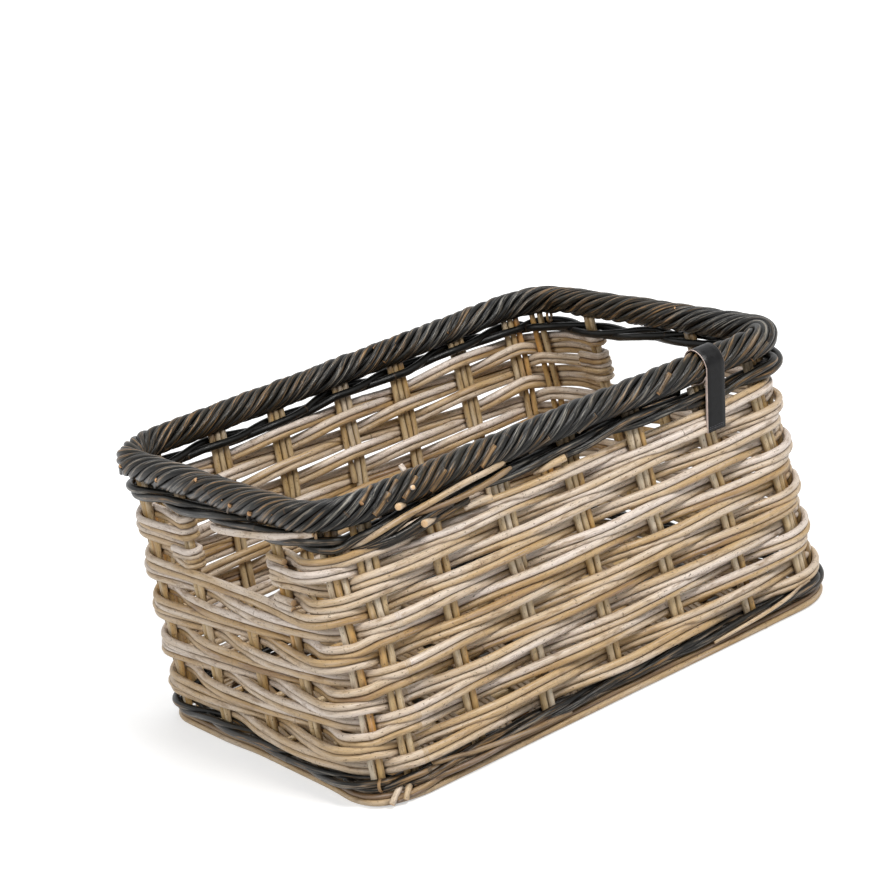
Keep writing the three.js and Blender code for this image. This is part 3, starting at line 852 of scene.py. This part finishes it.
def build_border_ends():
    """Cut ends of the canes that the border is rolled from."""
    canes = Canes(sides=10, step=3.0)
    local = draws(77)
    ends = [(*end, 1.5) for end in BORDER_ENDS]
    for s in np.arange(250, BORDER.total, 83):
        side = local.uniform(-70, 10) if local.random() < 0.5 else local.uniform(150, 240)
        ends.append((s + local.uniform(-15, 15), side, local.uniform(2.4, 3.2), 0.8))
    for s, degrees, radius, tone in ends:
        side = math.radians(degrees)
        centre, outward = border_line(np.array([s, s + 1.0]))
        along = unit(np.diff(centre, axis=0))[0]
        radial = math.cos(side) * outward[0] + math.sin(side) * UP
        turn = -math.sin(side) * outward[0] + math.cos(side) * UP
        way = 0.84 * along + 0.54 * turn
        t = np.linspace(0, 1, 7)[:, None]
        path = centre[0] + radial * (8.8 + 4.2 * t) + way * (-18 + 21 * t)
        canes.add(path, radial, 0.85 * radius, tone + local.uniform(-0.4, 0.3), rings=[])
    canes.piece("cane_border_ends", DARK)


# Loose canes and stubs: slot, radius, tone, what else Canes.add takes, and points of x, y and z
LOOSE_CANES = (
    # the light cane that runs up from the wale to the border, and the browner one below it
    (NATURAL, 2.7, 0.45, {"taper": (0.8, 0.4), "dirt": 0.16},
     (-230, -188, 230), (-220, -199, 233), (-208, -206, 237), (-199, -208.5, 239.5), (-176, -209, 243.0),
     (-153, -209.5, 245.5), (-114, -211, 250.5), (-91, -210, 251.5), (-66, -202, 251)),
    (NATURAL, 2.7, 0.85, {"dirt": 0.35, "taper": (0.7, 0.6)},
     (-172, -204, 240), (-142, -207.5, 238.5), (-120, -208, 238.8), (-94, -208.5, 241.3), (-66, -206, 245)),
    # stubs, and dark canes that fill the border's underside
    (NATURAL, 3.3, 0.3, {"taper": (0.5, 1)}, (-40, -198, 229), (-26, -204, 232.5), (-12, -210, 235.5)),
    (NATURAL, 2.9, 0.5, {}, (-116, -200, 225.5), (-104, -204.5, 227.5), (-92, -209, 228.4)),
    (NATURAL, 3.1, 0.5, {}, (-172, -200, 250), (-178, -206, 252), (-184, -212, 254)),
    (NATURAL, 3.6, 0.5, {}, (-140, -199, 229), (-152, -205, 230), (-164, -213, 231.5)),
    (DARK, 3.6, 0.2, {}, (-215, -199, 228), (-190, -206, 228), (-165, -207, 232), (-130, -206, 237)),
    (DARK, 3.4, 0.5, {}, (-205, -199, 223), (-180, -204, 225), (-150, -204, 228), (-112, -203, 233)),
    (DARK, 3.4, 0.4, {}, (-190, -199, 236), (-165, -202, 238), (-130, -202, 242), (-100, -200, 246)),
    # a rod inside the near wall, close under the border
    (DARK, 3.5, 0.3, {},
     (-188, -185, 242), (-100, -185.5, 245), (0, -185, 244), (90, -185.5, 244.5), (136, -185, 242)),
    # two pale ends that stand out of the border
    (NATURAL, 2.4, 0.0, {}, (-156, -191, 266), (-156.5, -187, 272), (-157, -183, 277)),
    (NATURAL, 2.1, 0.0, {}, (-165, -202, 261), (-165.5, -207, 263), (-166, -212, 264.8)),
    # the pale cane along the top of the left hand hole, up to the border at the near corner
    (NATURAL, 3.3, 0.0, {"flat": 0.75, "taper": (0.4, 0.6)}, (-254, 6, 226), (-262, -20, 230),
     (-264.5, -60, 234.5), (-263.5, -105, 239.5), (-260, -150, 245), (-250, -178, 248)),
    # a golden cane and two faded ones among the rods of the foot wale, and stubs at the near left corner
    (NATURAL, 1.9, 0.55, {}, (105, -207, 12), (140, -210.5, 15.5), (190, -210, 20.5), (226, -204, 25)),
    (NATURAL, 2.6, 1.0, {"dirt": 0.5},
     (-226, -203, 14), (-180, -210, 12), (-130, -210, 14), (-80, -205, 19)),
    (NATURAL, 2.4, 0.9, {"dirt": 0.4},
     (-205, -204, 24), (-165, -210, 20), (-110, -210.5, 15), (-60, -206, 12)),
    (NATURAL, 3.2, 0.9, {"dirt": 0.3}, (-196, -206, 12), (-226, -205, 8), (-245, -199, 6)),
    (NATURAL, 3.0, 0.3, {}, (-234, -196, 16), (-243, -199, 10), (-250, -201, 4.5)),
    (NATURAL, 3.0, 0.5, {}, (-226, -200, 17), (-233, -203, 11), (-238, -205, 5)))
# Ties of yellow cane skin at the corners: centre and radius
TIES = (((-244, -176, 245), 5.5), ((-249.5, -189, 19), 5.6), ((246, 168, 243), 6.0))


def build_trim():
    groups = {slot: Canes(sides=10, step=4.0) for slot in (NATURAL, DARK)}
    for slot, radius, tone, more, *points in LOOSE_CANES:
        points = np.array(points, float)
        at = lengths_along(points)
        t = np.linspace(0, at[-1], max(6, int(at[-1] / 4)))
        path = np.stack([spring(t, at, column) for column in points.T], 1)
        out = np.column_stack([unit(path[:, :2]), np.zeros(len(t))])
        groups[slot].add(path, out, radius, tone, **more)
    for centre, size in TIES:
        t = np.linspace(0, TURN, 20)[:-1]
        out = np.array([*centre[:2], 0]) / math.hypot(*centre[:2])
        spoke = np.cos(t)[:, None] * out + np.sin(t)[:, None] * UP
        groups[NATURAL].add(centre + size * spoke, spoke, 1.5, 1.0, closed=True, flat=0.5, rings=[],
                            step=2.0)
    groups[NATURAL].piece("cane_trim_natural", NATURAL)
    groups[DARK].piece("cane_trim_dark", DARK)


# ---- bottom

STICKS, STICK_SPACING, MAT_Z = 7, 52.0, 7.4
BAND_ROWS, BAND_PITCH, BAND_HALF = 24, 20.0, 9.7
# How far the band rises over a stick, the corner that its turns keep to, and how far they keep from a stick
BAND_RISE, BAND_CORNER, STICK_ROOM = 5.3, 38.5, 13.5


def build_bottom():
    inner_length, inner_width = half_sizes(HOOP_Z)
    for i in range(STICKS):
        y = (i - (STICKS - 1) / 2) * STICK_SPACING
        canes = Canes(step=10.0)
        beyond = max(0.0, abs(y) + 3.4 - (inner_width - CORNER))
        half = inner_length - CORNER + math.sqrt(max(0.0, (CORNER - 3) ** 2 - beyond ** 2))
        x = np.linspace(-half + 1, half - 1, 50)
        points = np.column_stack([x, np.full_like(x, y), np.full_like(x, MAT_Z)])
        canes.add(points, UP, 3.3, float(rng.uniform(0.3, 0.7)))
        canes.piece(f"cane_bottom_stick_{i + 1}", STAKE, f"bottom_stick_{i + 1}")

    # a band of three split canes that crosses the sticks over and under, turns and comes back
    line, travel = [], []
    row_x = [(row - (BAND_ROWS - 1) / 2) * BAND_PITCH for row in range(BAND_ROWS)]
    turn = BAND_PITCH / 2

    def wave(row, y):
        return MAT_Z - BAND_RISE * (-1) ** row * np.cos(math.pi * y / STICK_SPACING)

    for row, x in enumerate(row_x):
        way = 1 if row % 2 == 0 else -1
        ends = []
        for other in (max(row - 1, 0), min(row + 1, BAND_ROWS - 1)):
            beyond = max(0.0, max(abs(x), abs(row_x[other])) + BAND_HALF - (inner_length - CORNER))
            reach = inner_width - CORNER + math.sqrt(max(0.0, BAND_CORNER ** 2 - beyond ** 2)) - BAND_HALF
            stick = round(reach / STICK_SPACING) * STICK_SPACING
            ends.append((stick - STICK_ROOM if abs(stick - reach) < STICK_ROOM else reach) - turn)
        y = np.linspace(-way * ends[0], way * ends[1], 120)
        z = wave(row, y)
        line += list(np.column_stack([np.full_like(y, x), y, z]))
        travel += [(0, way)] * len(y)
        if row < BAND_ROWS - 1:
            after = wave(row + 1, y[-1])
            for a in np.linspace(0, math.pi, 13)[1:-1]:
                line.append((x + turn - turn * math.cos(a), way * (ends[1] + turn * math.sin(a)),
                             z[-1] + (after - z[-1]) * ease(a / math.pi)))
                travel.append((math.sin(a), way * math.cos(a)))
    line, travel = np.array(line), np.array(travel, float)
    beside = np.column_stack([travel[:, 1], -travel[:, 0], np.zeros(len(line))])
    canes = Canes(sides=8, step=5.5)
    # the bottom's canes are darkened, as dirt and painted shade inside the basket
    for k, off in enumerate((-6.4, 0.0, 6.4)):
        canes.add(line + off * beside, UP, 3.25, 0.6 + 0.12 * k, flat=0.55, swell=0.1, dirt=0.55)
    canes.piece("cane_bottom_weave", NATURAL, "bottom_weaver")

    # two thin canes between the woven bottom and the wall
    canes = Canes(sides=8, step=8.0)
    s = np.arange(0, WALL.total - 1, 6.0)
    # darkened, as dirt and painted shade low inside the wall
    for inset, tone in ((10.5, 0.5), (16.3, 0.8)):
        canes.add(wall(s, 3.5, -inset)[0], UP, 2.8, tone, closed=True, dirt=0.4)
    canes.piece("cane_bottom_edge", NATURAL)


# ---- label

LABEL_X, LABEL_HALF, LABEL_DROP, LABEL_LEAN = 157.5, 10.5, 58.0, math.radians(4.06)
STRAP, STRAP_RADIUS = 1.4, 15.6


def strap_path():
    """The strap seen along the border: up the front layer, round the border and down the back layer."""
    front = [(STRAP_RADIUS, -LABEL_DROP + t) for t in np.linspace(0, LABEL_DROP, 16)[:-1]]
    closing = math.acos((STRAP_RADIUS - STRAP) / STRAP_RADIUS)
    turn = [(STRAP_RADIUS * math.cos(a), STRAP_RADIUS * math.sin(a))
            for a in np.linspace(0, TURN - closing, 56)]
    foot = turn[-1][1]
    back = [(STRAP_RADIUS - STRAP, foot - t) for t in np.linspace(0, LABEL_DROP + foot, 14)[1:]]
    return np.array(front + turn + back)


def leaned(out, up):
    """Offset and height of a point of the hanging label, turned with its lean."""
    return (out * math.cos(LABEL_LEAN) + up * math.sin(LABEL_LEAN),
            up * math.cos(LABEL_LEAN) - out * math.sin(LABEL_LEAN))


def askew(x, up):
    """The strap hangs a little aslant, to the left at its end."""
    return LABEL_X + x + 4.5 - 9.0 * min(max(-up / LABEL_DROP, 0.0), 1.0)


def build_label():
    path = strap_path()
    tangent = unit(np.gradient(path, axis=0))
    normal = np.column_stack([tangent[:, 1], -tangent[:, 0]])
    half, thick, soft = LABEL_HALF, STRAP / 2, 0.42
    section = [(-half, -thick + soft), (-half, thick - soft), (-half + soft, thick), (-half * 0.5, thick),
               (0.0, thick), (half * 0.5, thick), (half - soft, thick), (half, thick - soft),
               (half, -thick + soft), (half - soft, -thick), (0.0, -thick), (-half + soft, -thick)]
    edge = {0, 1, 6, 7, 8, 11}
    vertices = []
    for (o, z), (no, nz) in zip(path, normal):
        for x, t in section:
            out, up = leaned(o + t * no, z + t * nz)
            vertices.append((askew(x, z) * MM, (-RIM_WIDTH - out) * MM, (RIM_Z + up) * MM))
    faces, kinds = [], []
    size = len(section)
    for i in range(len(path) - 1):
        for j in range(size):
            k = (j + 1) % size
            faces.append((i * size + j, i * size + k, (i + 1) * size + k, (i + 1) * size + j))
            kinds.append(int(j in edge))
    faces += [tuple(range(size))[::-1], tuple(range(len(vertices) - size, len(vertices)))]
    kinds += [1, 1]
    mesh = new_mesh("leather_strap", vertices, faces, LEATHER, LEATHER_EDGE)
    mesh.polygons.foreach_set("material_index", kinds)
    mesh.polygons.foreach_set("use_smooth", [k == 0 for k in kinds])
    mesh.update()
    add_piece(mesh, "leather_strap", ["leather_label"], "label")


def build_stitches():
    stitches = Canes(sides=6, step=1.0)
    outer = STRAP_RADIUS + STRAP / 2
    for row in (-LABEL_DROP + 3.0, -LABEL_DROP + 4.6):
        for x in np.arange(-LABEL_HALF + 2.2, LABEL_HALF - 2.0, 2.1):
            t = np.linspace(0, 1, 6)
            out, up = leaned(outer - 0.12 + 0.3 * np.sin(math.pi * t), row)
            points = np.column_stack([askew(x, row) + 1.4 * t, -RIM_WIDTH - out, RIM_Z + up])
            stitches.add(points, (0.0, -1.0, 0.0), 0.28, 0.5, rings=[], step=0.4)
    stitches.piece("label_stitches", "label_leather", body="label", material=THREAD)


# ---- camera and studio

WHITE = (1, 1, 1, 1)
FLOOR_HALF = 14.0


def build_camera():
    """Stands and looks as the photograph was taken."""
    rows = Matrix(((0.8133088744, -0.5408156597, -0.2145858733),
                   (-0.3349348744, -0.1336071450, -0.9327206231),
                   (0.4757597132, 0.8304622527, -0.2898019017)))
    offset = Vector((50.7697, 198.1819, 2437.4326))
    focal, image = 2536.904, 890.0
    data = bpy.data.cameras.new("camera")
    data.sensor_width, data.lens = 36.0, focal / image * 36.0
    data.clip_start, data.clip_end = 0.05, 60.0
    camera = new_object("camera", data)
    turned = rows.transposed() @ Matrix(((1, 0, 0), (0, -1, 0), (0, 0, -1)))
    place = -(rows.transposed() @ offset) * MM
    camera.matrix_world = Matrix.Translation(place) @ turned.to_4x4()
    bpy.context.scene.camera = camera


def white_to_camera(n):
    """1 for the rays that see the background, straight or in a gloss, and 0 for light."""
    rays = n.node("LightPath").outputs
    total = rays["Is Camera Ray"]
    for name in ("Is Glossy Ray", "Is Transmission Ray"):
        total = n.maths("ADD", total, rays[name], clamp=True)
    return total


def build_studio():
    scene = bpy.context.scene
    scene.view_settings.view_transform = "Standard"
    scene.world = bpy.data.worlds.new("studio")
    scene.world.use_nodes = True
    n = Nodes(scene.world.node_tree)
    n.tree.nodes.clear()
    light = n.node("Background", {"Color": (0.95, 0.97, 1.0, 1), "Strength": 0.3})
    seen = n.node("Background", {"Color": WHITE, "Strength": 1.0})
    mix = n.node("MixShader", {0: white_to_camera(n), 1: light.outputs[0], 2: seen.outputs[0]})
    n.node("OutputWorld", {"Surface": mix.outputs[0]})

    material, n = new_material("floor_white")
    # the floor turns into the white of the background away from the basket
    place = n.node("TexCoord").outputs["Object"]
    away = n.node("VectorMath", {0: place}, operation="LENGTH").outputs["Value"]
    glow = n.maths("MULTIPLY", white_to_camera(n), n.between(away, 0.5, 1.8, 0.5, 1.0))
    # under the basket it keeps the full shadow, which shows through the gaps of the bottom
    apart = n.node("VectorMath", {0: place}, operation="ABSOLUTE").outputs[0]
    apart = n.node("SeparateXYZ", {0: apart}).outputs
    beyond = n.maths("MAXIMUM", n.maths("SUBTRACT", apart[0], 0.25), n.maths("SUBTRACT", apart[1], 0.19))
    glow = n.maths("MULTIPLY", glow, n.between(beyond, -0.02, 0.0))
    n.set(Base_Color=(0.62, 0.62, 0.62, 1), Roughness=0.9, Specular_IOR_Level=0.0, Emission_Color=WHITE,
          Emission_Strength=glow)
    corners = [(x * FLOOR_HALF, y * FLOOR_HALF, 0) for x, y in ((-1, -1), (1, -1), (1, 1), (-1, 1))]
    floor = new_object("floor", new_mesh("floor", corners, [(0, 1, 2, 3)], material))

    for name, place, width, power, colour in (
            ("key", (0.3, -1.7, 2.1), 0.7, 53.0, (1.0, 0.985, 0.96)),
            ("fill", (-2.1, -0.6, 1.7), 0.8, 28.0, (1.0, 0.985, 0.95)),
            ("top", (0.3, 0.3, 2.3), 0.9, 20.0, (1.0, 1.0, 1.0))):
        lamp = bpy.data.lights.new(name, "AREA")
        lamp.size, lamp.energy, lamp.color = width, power, colour
        item = new_object(name, lamp)
        item.location = place
        item.rotation_euler = (Vector((0, 0, 0.12)) - Vector(place)).to_track_quat("-Z", "Y").to_euler()


build_courses()
build_stakes()
build_wale("foot_wale", lambda s: FOOT_WALE_Z, 3.4, 6.0, 0.25, 2.0, 1.1, 0.88)
build_wale("upper_wale", upper_wale_z, 3.9, 8.5, 0.3, 11.0, 0.0, 1.0)
build_hoop()
build_border()
build_border_ends()
build_trim()
build_bottom()
build_stitches()
build_pieces()
build_label()
build_camera()
build_studio()
